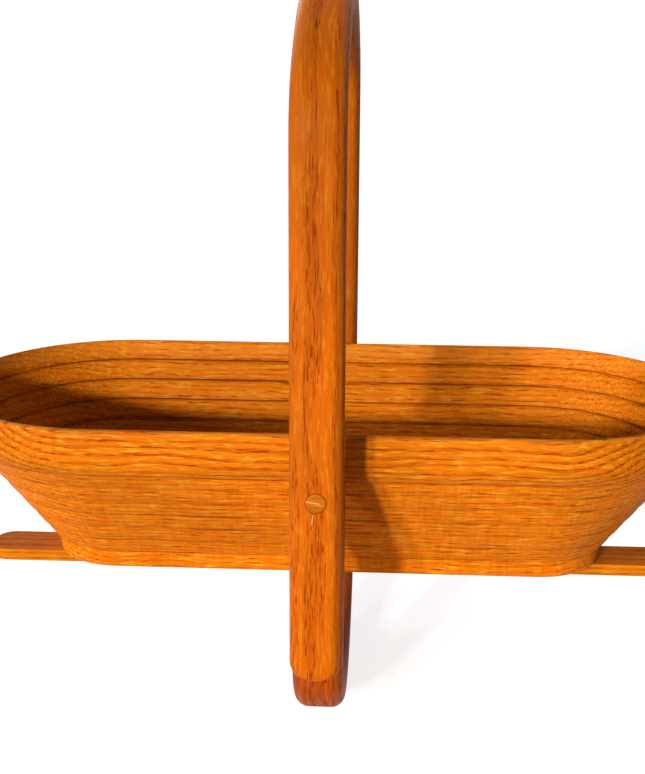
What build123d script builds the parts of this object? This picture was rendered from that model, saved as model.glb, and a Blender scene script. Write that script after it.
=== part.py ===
from build123d import *
import os
from math import atan2, degrees

# Collapsible wooden basket: a long bowl of tapered rings sawn from one board, hung in a U-shaped
# stand and carried by a hoop handle, which both turn on two screws in the bowl's first ring.
# X runs along the bowl, Y along the screws and Z up. The origin is on the table under the foot.
# All lengths are in millimetres, and the bowl is drawn open.

# Board and bowl
board_t = 20.6
bowl_length = 330.0
bowl_width = 140.6
end_reach = 2.6
rim_height = 140.0
rim_round = 1.8
ring_count = 7
ring_wall = 4.75
ring_drop = 8.2
ring_round = 0.6
lip_round = 2.6
hem_round = 3.4
base_hem_round = 1.6

# Bevelled saw cut between two rings: its width folded, and the gap left when a ring has dropped
kerf = 1.2
open_gap = 0.3

# Handle
arm_t = 12.6
arm_round = 4.5
handle_rise = 172.0
arch_rise = 58.0
arch_corner = 38.0
tongue_drop = 92.0
tongue_round = 6.5

# Stand
foot_rise = 54.0
foot_corner = 40.0
foot_flat_depth = 1.0

# Pivot screws and the plugs over them
pivot_drop = 17.5
screw_r = 2.0
screw_head_r = 3.4
screw_head_t = 2.4
plug_r = 3.85
plug_t = 3.0
plug_proud = 0.4

# Lifting bar and its two screws
bar_length = 306.0
bar_t = 5.4
bar_corner = 8.0
bar_round = 0.7
bar_screw_spacing = 120.0
bar_screw_length = 16.0

# Clearances
side_gap = 0.5
run_gap = 0.05
head_gap = 0.3
seat_gap = 0.02
screw_tip_gap = 1.5

# How far a cutting tool runs past what it cuts
overrun = 5.0

# Sizes and places that follow from those above
straight = bowl_length - bowl_width - 2 * end_reach
pitch = ring_wall + kerf
taper = (kerf - open_gap) / ring_drop
base_top = rim_height - ring_count * ring_drop
base_bottom = base_top - board_t
bar_bottom = base_bottom - bar_t
pivot_height = rim_height - pivot_drop
stand_out = bowl_width / 2 + side_gap + arm_t
handle_out = stand_out + side_gap + arm_t
counterbore_floor = handle_out - plug_t - screw_head_t - 2 * head_gap
screw_tip = bowl_width / 2 - ring_wall - pivot_drop * taper + screw_tip_gap


def oval(half_width, height):
    """Level face of the bowl's outline: two straight sides and half-elliptical ends."""
    half = straight / 2
    reach = half_width + end_reach
    edges = [
        Line((-half, -half_width), (half, -half_width)),
        EllipticalCenterArc((half, 0), reach, half_width, start_angle=-90, arc_size=180),
        Line((half, half_width), (-half, half_width)),
        EllipticalCenterArc((-half, 0), reach, half_width, start_angle=90, arc_size=180),
    ]
    return Pos(0, 0, height) * make_face(edges)


def tapered_block(half_width, top, height):
    """Block this wide on top, narrowing downwards at the saw's slope."""
    bottom_face = oval(half_width - height * taper, top - height)
    return loft([bottom_face, oval(half_width, top)], ruled=True)


def ring(index):
    """Ring number index, counted from zero at the rim, let down on the ring above it."""
    top = rim_height - index * ring_drop
    bottom = top - board_t
    half_width = bowl_width / 2 - index * pitch
    if index == 0:
        block = extrude(oval(half_width, bottom), amount=board_t)
    else:
        block = tapered_block(half_width, top, board_t)
    block = fillet(block.edges().group_by(Axis.Z)[0], base_hem_round if index == ring_count else hem_round)
    block = fillet(block.edges().group_by(Axis.Z)[-1], ring_round if index else rim_round)
    if index == ring_count:
        return block
    opening = half_width - ring_wall + overrun * taper
    block -= tapered_block(opening, top + overrun, board_t + 2 * overrun)
    top_face = block.faces().sort_by(Axis.Z)[-1]
    return fillet(top_face.inner_wires()[0].edges(), lip_round)


def rod(radius, start, end, side):
    """Round bar on the pivot axis, between two distances from the middle of the bowl."""
    plane = Plane(origin=(0, side * start, pivot_height), z_dir=(0, side, 0))
    return extrude(plane * Circle(radius), amount=end - start)


def u_band(half_width, rise, corner, leg):
    """Hoop of the arms' section: two legs down from zero height and a three-centred arch above."""
    reach = half_width - corner
    crown = (reach**2 + rise**2 - corner**2) / (2 * (rise - corner))
    lean = degrees(atan2(reach, crown - rise))
    mid = arm_t / 2
    side = half_width - mid
    path = Line((-side, -leg), (-side, 0))
    path += CenterArc((-reach, 0), corner - mid, 180, lean - 90)
    path += CenterArc((0, rise - crown), crown - mid, 90 + lean, -2 * lean)
    path += CenterArc((reach, 0), corner - mid, 90 - lean, lean - 90)
    path += Line((side, 0), (side, -leg))
    section = Pos(0, -side, -leg) * RectangleRounded(board_t, arm_t, arm_round)
    return sweep(section, path=Plane.YZ * path)


def side_view(outline):
    """Prism across the whole basket of an outline that is drawn as seen from the front."""
    return extrude(Plane.XZ * outline, amount=handle_out + overrun, both=True)


def handle():
    """Hoop with free lower ends, bored for the screws and counterbored for heads and plugs."""
    shoulder = rim_height + handle_rise - arch_rise
    tongue_end = rim_height - tongue_drop
    height = tongue_drop + handle_rise + tongue_round + overrun
    body = Pos(0, 0, shoulder) * u_band(handle_out, arch_rise, arch_corner, shoulder - tongue_end)
    outline = Pos(0, tongue_end + height / 2) * RectangleRounded(board_t, height, tongue_round)
    body &= side_view(outline)
    for side in (-1, 1):
        body -= rod(screw_r + run_gap, stand_out, handle_out, side)
        body -= rod(plug_r + seat_gap, counterbore_floor, handle_out + overrun, side)
    return body


def stand():
    """U inside the handle's arms, round at its upper ends and cut flat where it stands."""
    shoulder = foot_rise - foot_flat_depth
    arm_top = pivot_height + board_t / 2
    body = Pos(0, 0, shoulder) * Rot(X=180) * u_band(stand_out, foot_rise, foot_corner, arm_top - shoulder)
    length = pivot_height + board_t
    body &= side_view(Pos(0, pivot_height - length / 2) * SlotCenterToCenter(length, board_t, rotation=90))
    body -= Pos(0, 0, -overrun / 2) * Box(board_t + overrun, 2 * stand_out, overrun)
    for side in (-1, 1):
        body -= rod(screw_r + run_gap, bowl_width / 2, stand_out, side)
    return body


def pivot_screw(side):
    """Screw with a flat head in the handle's counterbore and its point in the first ring."""
    head_seat = counterbore_floor + head_gap
    return rod(screw_r, screw_tip, head_seat, side) + rod(screw_head_r, head_seat, head_seat + screw_head_t, side)


def plug(side):
    """Round plug over a pivot screw's head, standing a little proud of the arm."""
    return rod(plug_r, handle_out - plug_t, handle_out + plug_proud, side)


def bar_screws(gap):
    """The bar's two countersunk screws, or with a gap the holes that they fit."""
    head = Cone(screw_head_r + gap, screw_r + gap, screw_head_t)
    shank = Cylinder(screw_r + gap, bar_screw_length + gap)
    screw = Pos(0, 0, screw_head_t / 2) * head + Pos(0, 0, (bar_screw_length + gap) / 2) * shank
    spots = [Pos(side * bar_screw_spacing / 2, 0, bar_bottom) for side in (-1, 1)]
    return Compound([spot * screw for spot in spots])


def lift_bar():
    """Flat bar under the base plate, with rounded corners and eased edges."""
    outline = RectangleRounded(bar_length, board_t, bar_corner)
    bar = Pos(0, 0, bar_bottom) * extrude(outline, amount=bar_t)
    bar = fillet(bar.edges().group_by(Axis.Z)[0], bar_round)
    return bar - bar_screws(seat_gap)


rim_ring = ring(0)
for side in (-1, 1):
    rim_ring -= rod(screw_r + seat_gap, screw_tip - seat_gap, bowl_width / 2 + overrun, side)

nodes = {"rim_ring": rim_ring}
for number in range(1, ring_count):
    nodes[f"ring_{number + 1}"] = ring(number)
nodes["base_plate"] = ring(ring_count) - bar_screws(seat_gap)
nodes["lift_bar"] = lift_bar()
nodes["bar_screws"] = bar_screws(0)
nodes["handle"] = handle()
nodes["stand"] = stand()
nodes["pivot_screw_front"] = pivot_screw(-1)
nodes["pivot_screw_back"] = pivot_screw(1)
nodes["plug_front"] = plug(-1)
nodes["plug_back"] = plug(1)

os.makedirs("parts", exist_ok=True)
for name, shape in nodes.items():
    export_step(shape, f"parts/{name}.step")
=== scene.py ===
import bmesh
import bpy
import numpy as np
from mathutils import Matrix, Vector


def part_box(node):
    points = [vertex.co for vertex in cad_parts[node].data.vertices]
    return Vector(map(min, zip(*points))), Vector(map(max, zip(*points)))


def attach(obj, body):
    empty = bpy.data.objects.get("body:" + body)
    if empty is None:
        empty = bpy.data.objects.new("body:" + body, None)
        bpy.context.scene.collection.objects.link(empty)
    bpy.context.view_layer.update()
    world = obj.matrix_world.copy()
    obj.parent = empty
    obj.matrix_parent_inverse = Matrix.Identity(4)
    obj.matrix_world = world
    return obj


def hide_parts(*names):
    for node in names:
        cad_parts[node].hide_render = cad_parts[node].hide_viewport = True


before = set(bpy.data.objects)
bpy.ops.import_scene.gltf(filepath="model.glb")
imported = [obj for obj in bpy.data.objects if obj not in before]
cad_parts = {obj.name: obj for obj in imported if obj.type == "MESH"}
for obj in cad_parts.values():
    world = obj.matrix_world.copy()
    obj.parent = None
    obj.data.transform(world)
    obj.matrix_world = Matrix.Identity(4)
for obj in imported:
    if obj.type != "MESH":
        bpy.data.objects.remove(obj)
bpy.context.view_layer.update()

# The rim is the outermost ring, sawn from a thick oak board, with its outside left upright.
# It is sanded soft at every edge and oiled. The handle and the stand turn on two screws in it.
rim_low, rim_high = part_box("rim_ring")
board = rim_high.z - rim_low.z
drop = 0.0082  # from one ring down to the next
pitch = 0.00595  # from one ring in to the next: a wall and a saw cut
ring_wall = 0.00475
slope = 0.0009 / drop  # of the saw cuts
end_reach = 0.0026  # of the bowl's ends past a half circle
half_straight = rim_high.x - rim_high.y - end_reach


def softened(corners, steps=11, flat=5):
    """Closed section through corners given as (width, height, before, after, power, wear).

    Each corner is part of a superellipse: its start, plus the incoming side's reach times the sine
    to the power 2/power, plus the outgoing side's reach times one minus the cosine to that power.
    Before and after are the two reaches, so they say how far along its sides a corner is rounded.
    Wear is how rubbed the corner is, and comes back as a value for each point.
    """
    rows = np.array(corners, float)
    place = rows[:, :2]
    leg_in = place - np.roll(place, 1, 0)
    leg_in /= np.linalg.norm(leg_in, axis=1)[:, None]
    leg_out = np.roll(leg_in, -1, 0) * rows[:, 3:4]
    leg_in = leg_in * rows[:, 2:3]
    turn = np.linspace(0, np.pi / 2, steps)[None, :, None]
    power = 2 / rows[:, 4][:, None, None]
    arcs = (place - leg_in)[:, None] + np.sin(turn) ** power * leg_in[:, None]
    arcs = arcs + (1 - np.abs(np.cos(turn)) ** power) * leg_out[:, None]
    share = np.linspace(0, 1, flat + 2)[None, 1:-1, None]
    flats = arcs[:, -1:] + (np.roll(arcs[:, :1], -1, 0) - arcs[:, -1:]) * share
    points = np.concatenate([arcs, flats], 1).reshape(-1, 2)
    wear = rows[:, 5:6] * np.sin(2 * turn[0, :, 0])[None, :]
    return points, np.concatenate([wear, np.zeros((len(rows), flat))], 1).ravel()


def round_the_oval(width, height, per_end=72, per_side=40):
    """Section points carried round the bowl's outline, and the distance walked along its rim.

    The outline is two straight sides and two half ellipses: x is the end's centre plus the width
    and the end's reach times the cosine, and y is the width times the sine.
    """
    end = np.linspace(-np.pi / 2, np.pi / 2, per_end, endpoint=False)
    side = np.linspace(1, -1, per_side, endpoint=False)
    ones, quarter = np.ones(per_end), np.full(per_side, np.pi / 2)
    angle = np.concatenate([end, quarter, end + np.pi, 3 * quarter])[:, None]
    centre = half_straight * np.concatenate([ones, side, -ones, -side])[:, None]
    x = centre + (width + end_reach) * np.cos(angle)
    y = width * np.sin(angle)
    z = np.broadcast_to(height, x.shape)
    rim_x = centre + (rim_high.y + end_reach) * np.cos(angle)
    rim_line = np.concatenate([rim_x, rim_high.y * np.sin(angle)], 1)
    step = np.linalg.norm(np.roll(rim_line, -1, 0) - rim_line, axis=1)
    return np.stack([x, y, z], -1), np.concatenate([[0], np.cumsum(step)])


def skin(name, points, values, walk=None, closed=(True, True)):
    """Closed mesh of quads over a grid of points, joined round either way where closed says so.

    Values are kept on the points under their names. Walk puts the distance along the grid's first
    direction and the height into a UV map. Points that meet are welded, and faces point outwards.
    """
    rows, columns = points.shape[:2]
    i, j = np.meshgrid(
        np.arange(rows - 1 + closed[0]), np.arange(columns - 1 + closed[1]), indexing="ij"
    )
    ring_i = np.stack([i, i + 1, i + 1, i], -1).reshape(-1, 4)
    ring_j = np.stack([j, j, j + 1, j + 1], -1).reshape(-1, 4)
    quads = (ring_i % rows) * columns + ring_j % columns
    mesh = bpy.data.meshes.new(name)
    mesh.from_pydata(points.reshape(-1, 3).tolist(), [], quads.tolist())
    for label, value in values.items():
        value = np.ascontiguousarray(value, dtype=np.float32)
        kind = "FLOAT_VECTOR" if value.shape[-1] == 3 and value.ndim == 3 else "FLOAT"
        stored = mesh.attributes.new(label, kind, "POINT")
        stored.data.foreach_set("vector" if kind == "FLOAT_VECTOR" else "value", value.ravel())
    if walk is not None:
        height = points[..., 2].ravel()[quads.ravel()]
        pairs = np.stack([walk[ring_i.ravel()], height], -1)
        mesh.uv_layers.new(name="walk").data.foreach_set("uv", pairs.ravel())
    welded = bmesh.new()
    welded.from_mesh(mesh)
    bmesh.ops.remove_doubles(welded, verts=welded.verts, dist=1e-7)
    bmesh.ops.dissolve_degenerate(welded, edges=welded.edges, dist=1e-8)
    bmesh.ops.recalc_face_normals(welded, faces=welded.faces)
    welded.to_mesh(mesh)
    welded.free()
    mesh.shade_smooth()
    mesh.set_sharp_from_angle(angle=np.radians(40))
    piece = bpy.data.objects.new(name, mesh)
    bpy.context.scene.collection.objects.link(piece)
    return piece


def seen(red, green, blue):
    """Linear colour of one given as a screen shows it, in steps of 1/255."""
    share = np.array([red, green, blue]) / 255
    linear = np.where(share <= 0.04045, share / 12.92, ((share + 0.055) / 1.055) ** 2.4)
    return (*[float(value) for value in linear], 1.0)


def put(tree, kind, values=None, **settings):
    """New node, with its settings, and with numbers or other nodes' outputs on its inputs."""
    made = tree.nodes.new(kind)
    for key, value in settings.items():
        setattr(made, key, value)
    for socket, value in (values or {}).items():
        if isinstance(value, bpy.types.NodeSocket):
            tree.links.new(value, made.inputs[socket])
        else:
            made.inputs[socket].default_value = value
    return made


def new_group(name, inputs, outputs):
    """Empty node group with these named sockets, and its input and output nodes' sockets."""
    tree = bpy.data.node_groups.new(name, "ShaderNodeTree")
    for label, (kind, value) in inputs.items():
        socket = tree.interface.new_socket(label, in_out="INPUT", socket_type="NodeSocket" + kind)
        socket.default_value = value
    for label, kind in outputs.items():
        tree.interface.new_socket(label, in_out="OUTPUT", socket_type="NodeSocket" + kind)
    return tree, tree.nodes.new("NodeGroupInput").outputs, tree.nodes.new("NodeGroupOutput").inputs


def maths(tree, kind, first, second=0.0, clamp=False):
    """Output of a math node on one or two values."""
    return put(tree, "ShaderNodeMath", {0: first, 1: second}, operation=kind, use_clamp=clamp).outputs[0]


def times(tree, first, *others):
    """Product of two or more values."""
    for other in others:
        first = maths(tree, "MULTIPLY", first, other)
    return first


def vectors(tree, kind, first, second):
    """Output of a vector math node on two vectors."""
    return put(tree, "ShaderNodeVectorMath", {0: first, 1: second}, operation=kind).outputs[0]


def length_of(tree, vector):
    """Output of a vector's length."""
    return put(tree, "ShaderNodeVectorMath", {0: vector}, operation="LENGTH").outputs["Value"]


def stretched(tree, vector, scale, detail=2.0, rough=0.55):
    """Noise of about 0 to 1 over a vector in metres, with this many features a metre each way."""
    scaled = vectors(tree, "MULTIPLY", vector, scale)
    values = {"Vector": scaled, "Scale": 1.0, "Detail": detail, "Roughness": rough}
    return put(tree, "ShaderNodeTexNoise", values).outputs


def between(tree, value, low, high, to_low=0.0, to_high=1.0):
    """Value turned smoothly from low..high into to_low..to_high."""
    values = {0: value, 1: low, 2: high, 3: to_low, 4: to_high}
    return put(tree, "ShaderNodeMapRange", values, interpolation_type="SMOOTHSTEP").outputs[0]


def blend(tree, share, first, second, kind="MIX"):
    """Output of a colour mix."""
    values = {0: share, 6: first, 7: second}
    return put(tree, "ShaderNodeMix", values, data_type="RGBA", blend_type=kind).outputs[2]


# Grain runs along the vector's first direction. Year is a growth ring's width and Wander how far
# the rings sway, in metres. Fleck, Pore and Band are how strongly each of these shows, and Open
# is where the pores are.
oak_figure, given, out = new_group(
    "oak_figure",
    {
        "Grain": ("Vector", (0, 0, 0)),
        "Pith": ("Vector", (0, 0, 0)),
        "Year": ("Float", 0.0026),
        "Wander": ("Float", 0.004),
        "Light": ("Color", (1, 1, 1, 1)),
        "Base": ("Color", (1, 1, 1, 1)),
        "Dark": ("Color", (1, 1, 1, 1)),
        "Fleck": ("Float", 0.8),
        "Pore": ("Float", 0.8),
        "Band": ("Float", 0.4),
    },
    {"Color": "Color", "Height": "Float", "Open": "Float"},
)
tree = oak_figure
grain = given["Grain"]

# Growth rings round the pith: their age is the distance from it over a ring's width, a little
# uneven, and the early wood is the first half of each year.
drift = stretched(tree, grain, (17, 40, 40), detail=2.0, rough=0.5)["Color"]
centred = vectors(tree, "SUBTRACT", drift, (0.5, 0.5, 0.5))
sway = {0: centred, "Scale": given["Wander"]}
swayed = put(tree, "ShaderNodeVectorMath", sway, operation="SCALE").outputs[0]
bent = vectors(tree, "ADD", swayed, grain)
crosswise = vectors(tree, "MULTIPLY", vectors(tree, "SUBTRACT", bent, given["Pith"]), (0, 1, 1))
uneven = between(tree, stretched(tree, grain, (4, 70, 70))[0], 0.25, 0.75, -0.5, 0.5)
year = maths(tree, "ADD", maths(tree, "DIVIDE", length_of(tree, crosswise), given["Year"]), uneven)
phase = maths(tree, "FRACT", year)
early = times(tree, between(tree, phase, 0.0, 0.12), between(tree, phase, 0.18, 0.62, 1.0, 0.0))

# Long fibres, dark pores that crowd in the early wood, light flecks and broad clouds
fibre = stretched(tree, bent, (70, 1300, 1300), detail=3.0, rough=0.6)[0]
pore_field = stretched(tree, bent, (150, 1700, 1700), detail=1.0, rough=0.4)[0]
pores = times(tree, between(tree, pore_field, 0.54, 0.66), between(tree, early, 0.0, 1.0, 0.22, 1.0))
moved = vectors(tree, "ADD", bent, (3.1, 1.7, 0.9))
fleck_field = stretched(tree, moved, (120, 950, 950), detail=2.0, rough=0.6)[0]
flecks = between(tree, fleck_field, 0.50, 0.65)
broad = stretched(tree, moved, (7, 26, 26), detail=3.0, rough=0.55)[0]

# The light colour comes in with flecks and bright fibres, the dark one with bands, pores and dull
# fibres, and the clouds set how bright the whole is.
lit = between(tree, fibre, 0.3, 0.75, -0.12, 0.25)
lit = maths(tree, "ADD", times(tree, flecks, given["Fleck"]), lit, clamp=True)
dim = maths(tree, "ADD", times(tree, early, given["Band"]), times(tree, pores, given["Pore"]))
dim = maths(tree, "ADD", dim, between(tree, fibre, 0.2, 0.5, 0.32, 0.0), clamp=True)
body = blend(tree, lit, given["Base"], given["Light"])
body = blend(tree, dim, body, given["Dark"])
shade = between(tree, broad, 0.3, 0.7, 0.62, 0.86)
toned = put(tree, "ShaderNodeHueSaturation", {"Color": body, "Value": shade}).outputs[0]
height = maths(tree, "SUBTRACT", times(tree, fibre, 0.25), times(tree, pores, 0.75))
height = maths(tree, "SUBTRACT", height, times(tree, early, 0.2))
tree.links.new(toned, out["Color"])
tree.links.new(height, out["Height"])
tree.links.new(pores, out["Open"])

# Rubbed edges: patches along an edge, fewer where Break is higher.
hand_worn, given, out = new_group(
    "hand_worn",
    {"Edge": ("Float", 0.0), "Place": ("Vector", (0, 0, 0)), "Break": ("Float", 0.5)},
    {"Worn": "Float"},
)
tree = hand_worn
patch = stretched(tree, given["Place"], (90, 90, 90), detail=4.0, rough=0.6)[0]
patch = maths(tree, "ADD", patch, times(tree, given["Edge"], 0.35))
worn = between(tree, maths(tree, "SUBTRACT", patch, given["Break"]), 0.0, 0.25)
tree.links.new(times(tree, worn, given["Edge"]), out["Worn"])


def new_finish(name):
    """New material, its node tree and its shader."""
    material = bpy.data.materials.new(name)
    material.use_nodes = True
    return material, material.node_tree, material.node_tree.nodes["Principled BSDF"]


def place_of(tree):
    """Output of the place on the piece, in metres."""
    return put(tree, "ShaderNodeTexCoord").outputs["Object"]


def value_of(tree, name, output="Fac"):
    """Output of a named attribute of the piece."""
    return put(tree, "ShaderNodeAttribute", attribute_name=name).outputs[output]


def wood_figure(tree, grain, pith, year, wander, light, base, dark, fleck, pore, band):
    """Outputs of the oak figure with these values, and with colours as a screen shows them."""
    values = {
        "Grain": grain,
        "Pith": pith,
        "Year": year,
        "Wander": wander,
        "Light": seen(*light),
        "Base": seen(*base),
        "Dark": seen(*dark),
        "Fleck": fleck,
        "Pore": pore,
        "Band": band,
    }
    return put(tree, "ShaderNodeGroup", values, node_tree=oak_figure).outputs


def worn_edges(tree, breaks):
    """Mask of the piece's rubbed edges."""
    values = {"Edge": value_of(tree, "edge"), "Place": place_of(tree), "Break": breaks}
    return put(tree, "ShaderNodeGroup", values, node_tree=hand_worn).outputs[0]


def relief(tree, shader, height, strength, distance):
    """Bump on the shader, with a height of 1 standing for this distance in metres."""
    values = {"Strength": strength, "Distance": distance, "Height": height}
    tree.links.new(put(tree, "ShaderNodeBump", values).outputs[0], shader.inputs["Normal"])


# The bowl's oak shows saw strokes on its cut walls, and painted shade darkens its joints and seams.
# Its lower outer walls are paler: partly the sawn face, partly painted light on their slopes.
bowl_material, tree, shader = new_finish("oiled_oak_bowl")
saw_dark, rubbed, joint_shade_colour = seen(186, 84, 5), seen(228, 146, 50), seen(96, 38, 3)
sawn = value_of(tree, "sawn")
figure = wood_figure(
    tree,
    value_of(tree, "grain", "Vector"),
    pith=(0.0, 0.012, 0.032),
    year=0.0027,
    wander=0.0055,
    light=(255, 170, 40),
    base=(244, 123, 4),
    dark=(176, 66, 0),
    fleck=0.75,
    pore=0.8,
    band=between(tree, sawn, 0.0, 1.0, 0.45, 0.22),
)
walk = put(tree, "ShaderNodeUVMap", uv_map="walk").outputs[0]
stroke = between(tree, stretched(tree, walk, (520, 70, 1), detail=2.0, rough=0.5)[0], 0.35, 0.7)
stroke = times(tree, stroke, sawn)
# The lower rings' outer walls are lifted paler: partly their sawn face, partly painted light on these
# down-facing slopes.
paler_sawn_and_painted_light = between(tree, sawn, 0.85, 0.95, 1.0, 1.28)
colour = put(tree, "ShaderNodeHueSaturation", {"Color": figure["Color"], "Value": paler_sawn_and_painted_light}).outputs[0]
colour = blend(tree, times(tree, stroke, 0.25), colour, saw_dark)
worn = worn_edges(tree, 0.42)
colour = blend(tree, times(tree, worn, 0.5), colour, rubbed)
# Painted shade in the crevices: dark bands along the joints inside and the seams outside.
joint_shade_field = stretched(tree, walk, (24, 10, 1), detail=2.0, rough=0.5)[0]
joint = times(tree, value_of(tree, "joint"), between(tree, joint_shade_field, 0.35, 0.6, 0.45, 0.9))
seam_shade = times(tree, value_of(tree, "seam_shade"), between(tree, joint_shade_field, 0.50, 0.60, 0.25, 1.0))
colour = blend(tree, maths(tree, "MAXIMUM", joint, seam_shade), colour, joint_shade_colour)
tree.links.new(colour, shader.inputs["Base Color"])
rough = maths(tree, "ADD", between(tree, figure["Open"], 0.0, 1.0, 0.54, 0.70), times(tree, worn, -0.10))
tree.links.new(rough, shader.inputs["Roughness"])
height = maths(tree, "SUBTRACT", figure["Height"], times(tree, stroke, 0.35))
relief(tree, shader, height, strength=0.55, distance=0.00025)
shader.inputs["Specular IOR Level"].default_value = 0.04


def wall_values(points, section, wear, lowered, joints):
    """Board coordinates, edge wear, painted joint and seam shade and saw marks of a ring's points.

    Board coordinates are the place that a point had before its ring was let down, so that the
    figure runs on from ring to ring. Joints are heights, and whether each is an outside seam. The
    painted shade falls off as a bell curve of the height. The outside is where the section rises.
    """
    reach, seam_share, ledge, inside_cut = 0.0006, 0.75, 0.0015, 0.8
    level = section[:, 1]
    outer = np.roll(level, -1) - np.roll(level, 1) > 1e-9
    inner = ~outer | (level > level.max() - ledge)
    joint, seam_shade = np.zeros(len(level)), np.zeros(len(level))
    for height, outside in joints:
        near = np.exp(-(((level - height) / reach) ** 2))
        if outside:
            seam_shade = np.maximum(seam_shade, near * outer * seam_share)
        else:
            joint = np.maximum(joint, near * inner)
    cut = np.where(outer, 1.0 if lowered else 0.0, inside_cut)
    spread = {"edge": wear, "joint": joint, "seam_shade": seam_shade, "sawn": cut}
    values = {label: np.broadcast_to(value, points.shape[:2]) for label, value in spread.items()}
    return {"grain": points + np.array([0, 0, lowered]), **values}


rim_inside = rim_high.y - ring_wall
rim_section, rim_wear = softened(
    [
        (rim_high.y, rim_low.z, 0.0045, 0.0080, 1.4, 0.2),
        (rim_high.y, rim_high.z, 0.0018, 0.0016, 2.0, 0.5),
        (rim_inside, rim_high.z, 0.0024, 0.0074, 1.25, 0.5),
        (rim_inside - board * slope, rim_low.z, 0.0006, 0.0006, 2.0, 0.2),
    ]
)
rim_points, rim_walk = round_the_oval(rim_section[:, 0], rim_section[:, 1])
rim_joints = [(rim_low.z, True), (rim_high.z - drop, False)]
rim_values = wall_values(rim_points, rim_section, rim_wear, 0.0, rim_joints)
rim = skin("rim", rim_points, rim_values, rim_walk)
rim.data.materials.append(bowl_material)
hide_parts("rim_ring")
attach(rim, "rim")

# Six more rings come from the same board by sawing on inwards with the blade tilted, so that each
# one drops a step and jams in the last. Outside and inside they are sanded to nearly one slope.
lower_rings = 6
lean = board * slope
snug = 0.0002  # how far a ring's top edge reaches out towards the ring above
for number in range(1, lower_rings + 1):
    top = rim_high.z - number * drop
    foot = top - board
    width = rim_high.y - number * pitch
    section, wear = softened(
        [
            (width - lean, foot, 0.0046, 0.0082, 1.15, 0.1),
            (width + snug, top, 0.0003, 0.0003, 2.0, 0.0),
            (width - ring_wall, top, 0.0039, 0.0076, 1.2, 0.15),
            (width - ring_wall - lean, foot, 0.0004, 0.0001, 2.0, 0.0),
        ]
    )
    points, walk = round_the_oval(section[:, 0], section[:, 1])
    joints = [(foot, True), (foot + drop, True), (top, False), (top - drop, False)]
    name = f"ring_{number + 1}"
    ring = skin(name + "_oak", points, wall_values(points, section, wear, number * drop, joints), walk)
    ring.data.materials.append(bowl_material)
    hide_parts(name)
    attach(ring, name + "_body")

# The base is the middle of the board, which is left whole and becomes the bowl's floor.
# Its sawn edge is tapered as the rings are, and its lower edge is sanded round.
base_low, base_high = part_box("base_plate")
base_lowered = (lower_rings + 1) * drop
flat = 9  # points along each side between two corners
base_section, base_wear = softened(
    [
        (0.0, base_low.z, 0, 0, 2.0, 0.0),
        (base_high.y - lean, base_low.z, 0.0016, 0.0018, 2.0, 0.5),
        (base_high.y, base_high.z, 0.0008, 0.0010, 2.0, 0.3),
        (0.0, base_high.z, 0, 0, 2.0, 0.0),
    ],
    flat=flat,
)
base_section, base_wear = base_section[:-flat], base_wear[:-flat]
base_points, base_walk = round_the_oval(base_section[:, 0], base_section[:, 1])
base_joints = [(base_low.z + drop, True)]
base_values = wall_values(base_points, base_section, base_wear, base_lowered, base_joints)
base = skin("base", base_points, base_values, base_walk, closed=(True, False))
base.data.materials.append(bowl_material)
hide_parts("base_plate")
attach(base, "floor")

# A flat oak bar runs under the base, held by two screws, and sticks out past it at both ends.
# Pushing it up folds the bowl. Its corners are round and its lower edges are eased.
bar_material, tree, shader = new_finish("oiled_oak_bar")
figure = wood_figure(
    tree,
    place_of(tree),
    pith=(0.0, -0.018, 0.094),
    year=0.0024,
    wander=0.004,
    light=(250, 158, 36),
    base=(236, 128, 8),
    dark=(170, 84, 4),
    fleck=0.6,
    pore=0.75,
    band=0.4,
)
tree.links.new(figure["Color"], shader.inputs["Base Color"])
tree.links.new(between(tree, figure["Open"], 0.0, 1.0, 0.55, 0.70), shader.inputs["Roughness"])
relief(tree, shader, figure["Height"], strength=0.5, distance=0.00025)
shader.inputs["Specular IOR Level"].default_value = 0.02
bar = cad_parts["lift_bar"]
bar.data.materials.clear()
bar.data.materials.append(bar_material)

# The screws are plain zinc-plated steel, turned and finely brushed round their heads.
# Two hold the bar to the base, and two more are the pivots under the handle's plugs.
steel, tree, shader = new_finish("brushed_zinc")
place = place_of(tree)
brushed = stretched(tree, place, (2600, 400, 2600), detail=3.0, rough=0.6)[0]
cloud = stretched(tree, place, (260, 260, 260), detail=3.0, rough=0.6)[0]
tone = blend(tree, between(tree, cloud, 0.3, 0.7), seen(176, 176, 180), seen(212, 212, 214))
tree.links.new(tone, shader.inputs["Base Color"])
tree.links.new(between(tree, brushed, 0.3, 0.7, 0.26, 0.44), shader.inputs["Roughness"])
relief(tree, shader, brushed, strength=0.3, distance=0.00004)
shader.inputs["Metallic"].default_value = 1.0
for name in ("bar_screws", "pivot_screw_front", "pivot_screw_back"):
    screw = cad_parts[name]
    screw.data.materials.clear()
    screw.data.materials.append(steel)

# The stand is a U of oak bent from one strip, inside the handle's arms. Its upper ends are round
# and turn on the pivot screws, and its curve is planed flat where it stands on the table.
stand_low, stand_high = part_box("stand")
arm_depth = 0.0126
foot_rise = 0.054
foot_corner = 0.040
planed_off = 0.001
stand_edge = 0.0056  # rounding of the strip's long edges
end_edge = 0.0020  # rounding of its edges across the ends


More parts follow.
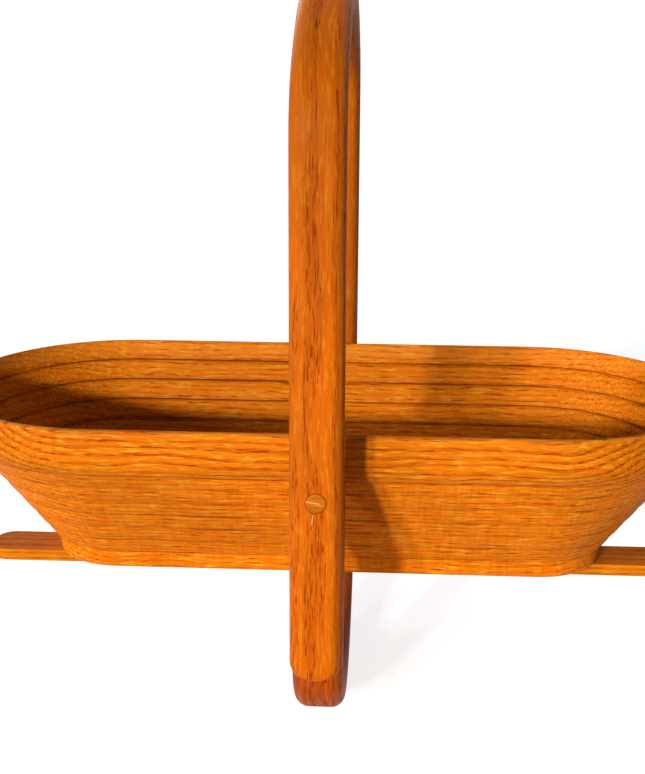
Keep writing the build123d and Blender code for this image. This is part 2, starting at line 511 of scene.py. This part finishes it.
def hoop_line(half_width, rise, corner, leg, depth, easing):
    """Middle line of a bent hoop: places across and up, the way out, and the distance along.

    Each leg is straight, each corner is an arc and the crown is one more arc that meets both. The
    outward angle is 180 degrees on the first leg and falls evenly along each arc to 0 on the last.
    Over the easing length at each end the places crowd together as one minus the cosine.
    """
    reach = half_width - corner
    crown = (reach**2 + rise**2 - corner**2) / (2 * (rise - corner))
    lean = np.arctan2(reach, crown - rise)
    small, large = corner - depth / 2, crown - depth / 2
    bend = small * (np.pi / 2 - lean)
    stops = np.cumsum([0, leg, bend, 2 * large * lean, bend, leg])
    whole = stops[-1]
    end_rows, leg_rows, bend_rows = 13, 26, 150
    ends = easing * (1 - np.cos(np.linspace(0, np.pi / 2, end_rows)))
    legs = np.linspace(easing, leg, leg_rows)[1:-1]
    bends = np.linspace(leg, whole - leg, bend_rows)
    along = np.concatenate([ends, legs, bends, whole - legs[::-1], whole - ends[::-1]])
    angle = np.interp(along, stops, [np.pi, np.pi, np.pi / 2 + lean, np.pi / 2 - lean, 0, 0])
    zone = np.clip(np.searchsorted(stops, along, side="right") - 1, 0, 4)
    radius = np.choose(zone, [0, small, large, small, 0])
    across = np.choose(zone, [0, -reach, 0, reach, 0]) + radius * np.cos(angle)
    up = np.choose(zone, [0, 0, rise - crown, 0, 0]) + radius * np.sin(angle)
    straight = (zone == 0) | (zone == 4)
    across = np.where(straight, np.sign(along - whole / 2) * (half_width - depth / 2), across)
    up = np.where(straight, np.minimum(along, whole - along) - leg, up)
    return across, up, angle, along


def with_caps(rows):
    """Rows of a grid with one more at each end, drawn together at its middle."""
    middles = rows.mean(1, keepdims=True)[[0, -1]] + np.zeros_like(rows[:1])
    return np.concatenate([middles[:1], rows, middles[1:]])


def bent_strip(line, half, depth, corner, tip, edge_round):
    """Points of a strip of rounded section along a hoop's line, with its grain and edge wear.

    The section is a rectangle whose corners are quarter circles. Near an end its width follows a
    circle of the tip's radius, and its depth one of the edge's, so that the end comes out round.
    """
    across, up, angle, along = line
    per_corner, per_side = 10, 5
    thinnest, end_wear, worn_reach = 0.0006, 0.5, 0.6 * tip
    left = np.minimum(along, along[-1] - along)
    inside = np.clip(tip - left, 0, tip)
    wide = half - tip + np.sqrt(np.maximum(tip**2 - inside**2, 0))
    wide = np.maximum(wide, thinnest)[:, None]
    near = np.clip(edge_round - left, 0, edge_round)
    deep = (depth / 2 - edge_round + np.sqrt(np.maximum(edge_round**2 - near**2, 0)))[:, None]
    quarter = np.linspace(0, np.pi / 2, per_corner)
    turn = np.concatenate(
        [np.append(quarter + k * np.pi / 2, np.full(per_side, (k + 1) * np.pi / 2)) for k in range(4)]
    )
    bend, side, slide = np.ones(per_corner), np.ones(per_side), np.linspace(1, -1, per_side + 2)[1:-1]
    side_x = np.concatenate([bend, slide, -bend, -side, -bend, -slide, bend, side])
    side_out = np.concatenate([bend, side, bend, slide, -bend, -side, -bend, -slide])
    curve = np.minimum(np.minimum(corner, wide), deep)
    x = side_x * (wide - curve) + curve * np.cos(turn)
    out = side_out * (deep - curve) + curve * np.sin(turn)
    y = across[:, None] + out * np.cos(angle)[:, None]
    z = up[:, None] + out * np.sin(angle)[:, None]
    wear = np.abs(np.sin(2 * turn)) * np.ones_like(x)
    wear = np.maximum(wear, np.clip(1 - left / worn_reach, 0, 1)[:, None] * end_wear)
    grain = np.stack([along[:, None] * np.ones_like(x), out, x], -1)
    return with_caps(np.stack([x, y, z], -1)), with_caps(grain), np.pad(wear, ((1, 1), (0, 0)))


def thin_line(tree, off, half_width):
    """Mask of a thin line: 0.7 on its middle, and 0 past its half width."""
    return between(tree, maths(tree, "ABSOLUTE", off), 0.0001, half_width, 0.7, 0.0)


def arm_oak(name, light, base, dark, pith, crown_shade=None, bored=None):
    """Oiled oak of a bent strip, whose figure follows the strip, with paler rubbed edges.

    Crown_shade is painted shade: a tint that comes in between two heights, given as (low, high,
    most, shade_tint). Bored is the height of a plug with a dark line round it, which is painted
    shadow, and a light streak of dried glue under it.
    """
    material, tree, shader = new_finish(name)
    rubbed, plug_shadow_colour, glue = seen(214, 118, 36), seen(70, 28, 4), seen(236, 168, 80)
    figure = wood_figure(
        tree,
        value_of(tree, "grain", "Vector"),
        pith=pith,
        year=0.0029,
        wander=0.0035,
        light=light,
        base=base,
        dark=dark,
        fleck=0.55,
        pore=0.85,
        band=0.3,
    )
    colour = figure["Color"]
    place = place_of(tree)
    spot = put(tree, "ShaderNodeSeparateXYZ", {0: place}).outputs
    # Painted shade: the wood is tinted darker towards the top.
    if crown_shade:
        low, high, most, shade_tint = crown_shade
        share = between(tree, spot[2], low, high, 0.0, most)
        colour = blend(tree, share, colour, seen(*shade_tint), "MULTIPLY")
    worn = worn_edges(tree, 0.5)
    colour = blend(tree, times(tree, worn, 0.12), colour, rubbed)
    if bored:
        # Painted shadow of the plug's recess: a dark ring on the arm round the plug.
        from_pin = vectors(tree, "SUBTRACT", place, (0, 0, bored))
        reach = length_of(tree, vectors(tree, "MULTIPLY", from_pin, (1, 0, 1)))
        bore, line_end = 0.0039, 0.0043
        plug_shadow = between(tree, reach, bore, line_end, 0.6, 0.0)
        colour = blend(tree, plug_shadow, colour, plug_shadow_colour)
        streak_lean, streak_left, streak_half = 0.13, 0.0004, 0.0004
        below = maths(tree, "SUBTRACT", bored, spot[2])
        aside = maths(tree, "ADD", spot[0], times(tree, below, streak_lean))
        aside = maths(tree, "ADD", aside, streak_left)
        starts = between(tree, below, 0.0042, 0.0050)
        stops = between(tree, below, 0.0070, 0.0088, 1.0, 0.0)
        front_only = between(tree, spot[1], -0.02, 0.0, 1.0, 0.0)
        streak = times(tree, thin_line(tree, aside, streak_half), starts, stops, front_only)
        colour = blend(tree, streak, colour, glue)
    tree.links.new(colour, shader.inputs["Base Color"])
    rough = maths(tree, "ADD", between(tree, figure["Open"], 0.0, 1.0, 0.52, 0.68), times(tree, worn, -0.08))
    tree.links.new(rough, shader.inputs["Roughness"])
    relief(tree, shader, figure["Height"], strength=0.6, distance=0.0003)
    shader.inputs["Specular IOR Level"].default_value = 0.05
    return material


stand_half = (stand_high.y - stand_low.y) / 2
foot_level = foot_rise - planed_off
stand_leg = stand_high.z - foot_level
stand_line = hoop_line(stand_half, foot_rise, foot_corner, stand_leg, arm_depth, board / 2)
stand_points, stand_grain, stand_wear = bent_strip(
    stand_line, board / 2, arm_depth, stand_edge, board / 2, end_edge
)
stand_points[..., 2] = foot_level - stand_points[..., 2]
stand = skin("stand_oak", stand_points, {"grain": stand_grain, "edge": stand_wear}, closed=(False, True))
planed = bmesh.new()
planed.from_mesh(stand.data)
everything = planed.verts[:] + planed.edges[:] + planed.faces[:]
bmesh.ops.bisect_plane(
    planed, geom=everything, dist=1e-6, plane_co=(0, 0, 0), plane_no=(0, 0, 1), clear_inner=True
)
bmesh.ops.holes_fill(planed, edges=[edge for edge in planed.edges if edge.is_boundary])
bmesh.ops.recalc_face_normals(planed, faces=planed.faces)
planed.to_mesh(stand.data)
planed.free()
stand.data.materials.append(
    arm_oak(
        "oiled_oak_stand",
        light=(236, 122, 28),
        base=(196, 78, 3),
        dark=(128, 40, 1),
        pith=(0.0, -0.016, 0.027),
    )
)
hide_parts("stand")
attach(stand, "leg")

# The handle is a taller hoop bent in the same way. Its arms hang past the pivots as free tongues,
# and every edge is rounded over for the hand. Painted shade darkens the wood towards the crown.
handle_low, handle_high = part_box("handle")
plug_height = sum(corner.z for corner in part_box("plug_front")) / 2
crown_rise = 0.058
crown_corner = 0.038
handle_edge = 0.0058
tongue_round = 0.0065
shoulder = handle_high.z - crown_rise
handle_leg = shoulder - handle_low.z
handle_line = hoop_line(handle_high.y, crown_rise, crown_corner, handle_leg, arm_depth, tongue_round)
handle_points, handle_grain, handle_wear = bent_strip(
    handle_line, board / 2, arm_depth, handle_edge, tongue_round, end_edge
)
handle_points[..., 2] += shoulder
handle_values = {"grain": handle_grain, "edge": handle_wear}
handle = skin("handle_oak", handle_points, handle_values, closed=(False, True))
handle.data.materials.append(
    arm_oak(
        "oiled_oak_handle",
        light=(248, 144, 26),
        base=(228, 106, 4),
        dark=(176, 64, 0),
        pith=(0.0, -0.030, 0.012),
        crown_shade=(0.170, 0.290, 0.6, (222, 230, 255)),
        bored=plug_height,
    )
)
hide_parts("handle")
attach(handle, "hoop")

# A round oak plug covers each pivot screw and stands a little proud of the arm, with a softened
# edge. It is duller than the arm, with its grain level, painted shadow round its edge and a
# painted highlight as a light line across its left side.
plug_material, tree, shader = new_finish("oiled_oak_plug")
plug_rim_shadow_colour, glint_colour = seen(84, 34, 8), seen(240, 178, 96)
place = place_of(tree)
figure = wood_figure(
    tree,
    place,
    pith=(0.0, 0.0, 0.160),
    year=0.0021,
    wander=0.0015,
    light=(240, 150, 40),
    base=(216, 112, 8),
    dark=(170, 76, 2),
    fleck=0.7,
    pore=0.5,
    band=0.2,
)
# Painted shadow: the plug's edge is darkened where it sinks into the arm.
colour = blend(tree, times(tree, value_of(tree, "joint"), 0.7), figure["Color"], plug_rim_shadow_colour)
spot = put(tree, "ShaderNodeSeparateXYZ", {0: place}).outputs
# Painted highlight: a light line across the plug's left side.
glint_up, glint_lean, glint_half = 0.0003, 0.12, 0.0003
above = maths(tree, "SUBTRACT", spot[2], plug_height + glint_up)
above = maths(tree, "ADD", above, times(tree, spot[0], glint_lean))
one_side = between(tree, spot[0], 0.0008, 0.0018, 1.0, 0.0)
glint_line = times(tree, thin_line(tree, above, glint_half), one_side)
colour = blend(tree, glint_line, colour, glint_colour)
tree.links.new(colour, shader.inputs["Base Color"])
tree.links.new(between(tree, figure["Open"], 0.0, 1.0, 0.40, 0.58), shader.inputs["Roughness"])
relief(tree, shader, figure["Height"], strength=0.5, distance=0.0002)
shader.inputs["Specular IOR Level"].default_value = 0.12

# A plug's profile runs from its middle out over a flat crown and a round edge, then into the arm:
# share is the part of its radius, and sink how far below its top.
flat_share, edge_share = 0.82, 0.18
shadow_from, shadow_wide = 0.93, 0.07
crowned, edge_drop, plug_depth = 0.00012, 0.0006, 0.003
step = np.linspace(0, 1, 9)
turn = step[1:] * np.pi / 2
share = np.concatenate([flat_share * step, flat_share + edge_share * np.sin(turn), [1.0, 0.0]])
sink = np.concatenate([crowned * step**2, crowned + edge_drop * (1 - np.cos(turn)), [plug_depth] * 2])
spin = np.linspace(0, 2 * np.pi, 64, endpoint=False)[:, None]
for side, name in ((-1, "plug_front"), (1, "plug_back")):
    low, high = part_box(name)
    middle = (low + high) / 2
    radius = (high.x - low.x) / 2
    front = low.y if side < 0 else high.y
    out = radius * share
    sideways = middle.x + out * np.cos(spin)
    upwards = middle.z + out * np.sin(spin)
    inwards = front - side * sink + np.zeros_like(sideways)
    points = np.stack([sideways, inwards, upwards], -1)
    # The painted shadow on the plug's edge, kept on its points.
    rim_shadow = np.broadcast_to(np.clip((share - shadow_from) / shadow_wide, 0, 1), sideways.shape)
    plug = skin(name + "_oak", points, {"joint": rim_shadow}, closed=(True, False))
    plug.data.materials.append(plug_material)
    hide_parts(name)
    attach(plug, "hoop")

# Studio: a wide pale floor that shows white and keeps the basket's shadow, three soft lamps on the
# left of the camera, a weak one behind, and an even glow from all round.
span = 60.0
paper_dull, paper_pale = (0.60, 0.60, 0.60, 1), (0.62, 0.62, 0.62, 1)
paper_glow, room_glow = 0.80, 0.14
floor_corners = [(-span, -span, 0), (span, -span, 0), (span, span, 0), (-span, span, 0)]
floor_mesh = bpy.data.meshes.new("floor")
floor_mesh.from_pydata(floor_corners, [], [(0, 1, 2, 3)])
floor = bpy.data.objects.new("floor", floor_mesh)
bpy.context.scene.collection.objects.link(floor)


def seen_directly(tree):
    """1 where a surface is seen itself, in a shine or through glass, and 0 where it only lights."""
    path = put(tree, "ShaderNodeLightPath").outputs
    direct = maths(tree, "ADD", path["Is Camera Ray"], path["Is Glossy Ray"])
    return maths(tree, "ADD", direct, path["Is Transmission Ray"], clamp=True)


paper, tree, shader = new_finish("pale_paper")
fibres = stretched(tree, place_of(tree), (300, 300, 300), detail=2.0, rough=0.5)[0]
tone = blend(tree, between(tree, fibres, 0.3, 0.7), paper_dull, paper_pale)
tree.links.new(tone, shader.inputs["Base Color"])
tree.links.new(times(tree, seen_directly(tree), paper_glow), shader.inputs["Emission Strength"])
shader.inputs["Emission Color"].default_value = (1, 1, 1, 1)
shader.inputs["Roughness"].default_value = 0.9
shader.inputs["Specular IOR Level"].default_value = 0.0
floor.data.materials.append(paper)

world = bpy.data.worlds.new("studio")
bpy.context.scene.world = world
world.use_nodes = True
tree = world.node_tree
glow = tree.nodes["Background"]
glow.inputs["Color"].default_value = (1, 1, 1, 1)
tree.links.new(between(tree, seen_directly(tree), 0.0, 1.0, room_glow, 1.0), glow.inputs["Strength"])

# Each lamp: degrees left of the front, degrees up, strength, and degrees wide. They shine like
# suns, evenly from one side, so how far off they stand changes nothing.
lamp_distance = 2.0
for name, azimuth, height, strength, softness in (
    ("near_lamp", 20, 13.0, 1.95, 4),
    ("middle_lamp", 27, 13.5, 1.41, 4),
    ("far_lamp", 50, 14, 0.90, 6),
    ("back_lamp", 160, 12, 0.30, 12),
):
    lamp = bpy.data.lights.new(name, "SUN")
    lamp.energy = strength
    lamp.angle = np.radians(softness)
    shine = bpy.data.objects.new(name, lamp)
    turn, lift = np.radians(azimuth), np.radians(height)
    towards = Vector((np.sin(turn) * np.cos(lift), np.cos(turn) * np.cos(lift), -np.sin(lift)))
    shine.rotation_euler = towards.to_track_quat("-Z", "Y").to_euler()
    shine.location = -lamp_distance * towards
    bpy.context.scene.collection.objects.link(shine)

# The camera stands in front, a little right of the middle, and looks down at the basket. Its turns
# are in radians, its place is in metres, and its lens is about twice as long as its sensor is wide.
pitch_down, yaw, roll = 0.2952, 0.0504, 0.0052
camera_place = (0.0249, -0.5443, 0.3042)
level = Vector((-np.sin(yaw), np.cos(yaw), 0))
ahead = level * np.cos(pitch_down) - Vector((0, 0, np.sin(pitch_down)))
head = level * np.sin(pitch_down) + Vector((0, 0, np.cos(pitch_down)))
right = Vector((np.cos(yaw), np.sin(yaw), 0))
tilted_right = right * np.cos(roll) + head * np.sin(roll)
tilted_head = head * np.cos(roll) - right * np.sin(roll)
turned = Matrix((tilted_right, tilted_head, -ahead)).transposed().to_4x4()
lens = bpy.data.cameras.new("photo_lens")
lens.sensor_fit = "HORIZONTAL"
lens.sensor_width = 36.0
lens.lens = 72.6
camera = bpy.data.objects.new("photo_camera", lens)
camera.matrix_world = Matrix.Translation(camera_place) @ turned
bpy.context.scene.collection.objects.link(camera)
bpy.context.scene.camera = camera
bpy.context.scene.view_settings.view_transform = "Standard"
